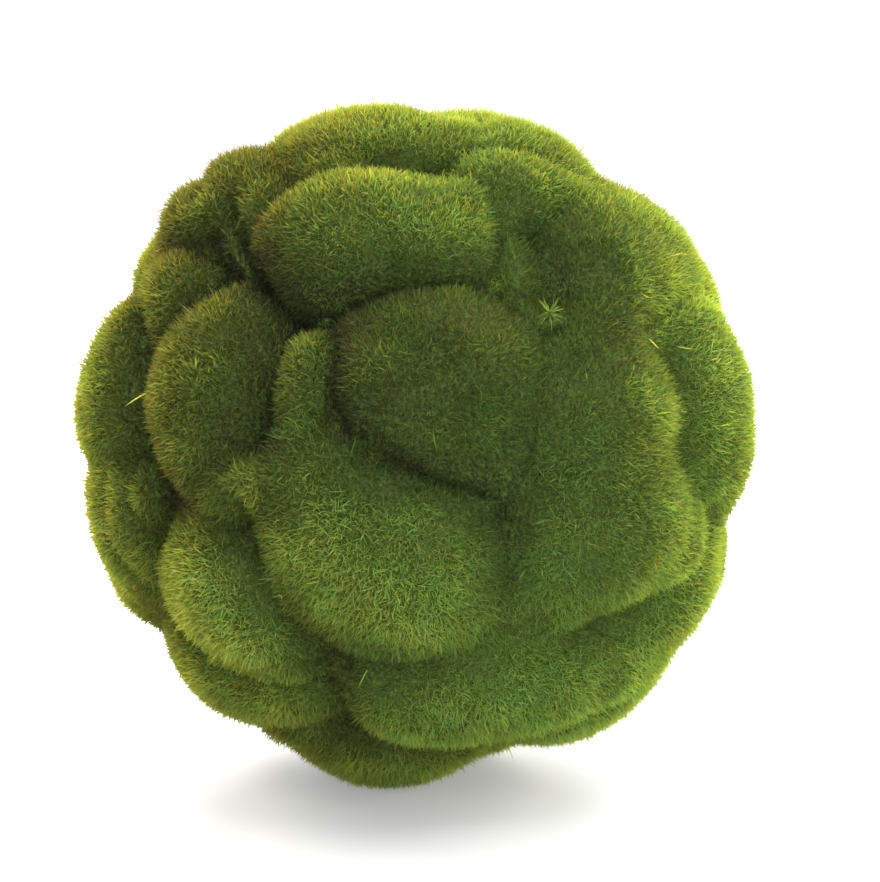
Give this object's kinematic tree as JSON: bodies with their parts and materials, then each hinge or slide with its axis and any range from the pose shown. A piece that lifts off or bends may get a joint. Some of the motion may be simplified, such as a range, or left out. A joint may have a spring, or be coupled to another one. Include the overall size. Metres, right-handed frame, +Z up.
{
  "type": "moss clump",
  "caption": "Round clump of soft green moss cushions packed side by side, resting on a small flat foot.",
  "frame": {"origin": "middle of the clump's bounding box at the level it rests on", "axes": "+Z up, -Y the front, +X to the right seen from the front"},
  "size_m": [0.2006, 0.2035, 0.1972],
  "materials": {
    "moss": "matt, dense upright moss shoots with lighter, faintly translucent tips"
  },
  "bodies": {
    "root": {"upper_pad": "moss", "crown_left": "moss", "crown_right": "moss", "ridge": "moss", "hollow": "moss", "upper_right": "moss", "shoulder_right": "moss", "right_edge": "moss", "centre_right": "moss", "centre": "moss", "lower_right": "moss", "small_left": "moss", "left_pad": "moss", "lower_middle": "moss", "tongue": "moss", "lower_left": "moss", "left_upper_edge": "moss", "left_lower_edge": "moss", "thin_left": "moss", "bottom_left": "moss", "bottom_middle": "moss", "foot": "moss", "right_low": "moss", "right_bottom": "moss", "upper_left": "moss", "crescent": "moss", "left_high": "moss", "crown_back_left": "moss", "crown_back_right": "moss", "back_high_left": "moss", "back_high_mid_left": "moss", "back_high_middle": "moss", "back_high_mid_right": "moss", "back_high_right": "moss", "back_edge_right": "moss", "back_right": "moss", "back_mid_right": "moss", "back_middle": "moss", "back_mid_left": "moss", "back_left": "moss", "back_edge_left": "moss", "back_far_left": "moss", "back_low_left": "moss", "back_low_mid_left": "moss", "back_low_middle": "moss", "back_low_mid_right": "moss", "back_low_right": "moss", "base": "moss"}
  },
  "joints": []
}
